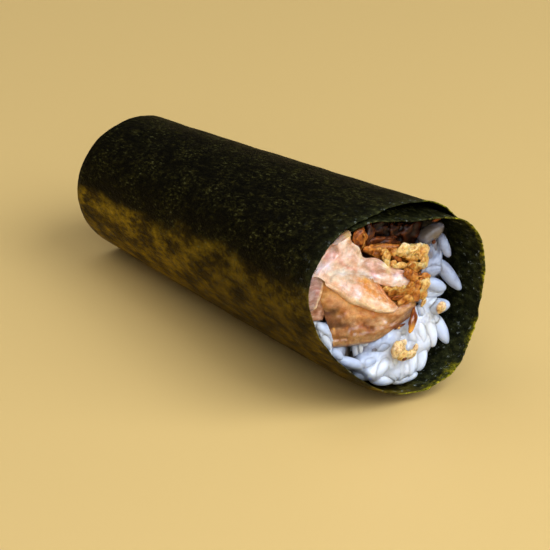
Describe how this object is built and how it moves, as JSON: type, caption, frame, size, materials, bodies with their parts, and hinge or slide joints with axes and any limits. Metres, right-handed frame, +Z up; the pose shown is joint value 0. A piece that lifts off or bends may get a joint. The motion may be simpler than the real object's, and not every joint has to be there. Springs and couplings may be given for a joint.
{
  "type": "temaki hand roll",
  "caption": "Hand roll of toasted nori wound round sushi rice, folded slabs of fish and crisp fried onion, open at both ends, lying on its side.",
  "frame": {"origin": "centre of the bottom of the roll's box, on the surface the roll lies on", "axes": "+Z up, -Y out of the mouth along the roll, +X to the right of someone looking into the mouth"},
  "size_m": [0.046, 0.1114, 0.0438],
  "materials": {
    "nori": "glossy",
    "rice": "moist",
    "fish_pink": "moist",
    "fish_tan": "moist",
    "fish_mauve": "moist",
    "fried_onion": "crisp",
    "dark_onion": "crisp"
  },
  "bodies": {
    "root": {"nori_wrap": "nori", "rice": "rice", "fish_upper": "fish_pink", "fish_lower": "fish_tan", "fish_side": "fish_mauve", "fried_onion_top": "fried_onion", "fried_onion_front": "fried_onion", "fried_onion_inner": "dark_onion"}
  },
  "joints": []
}
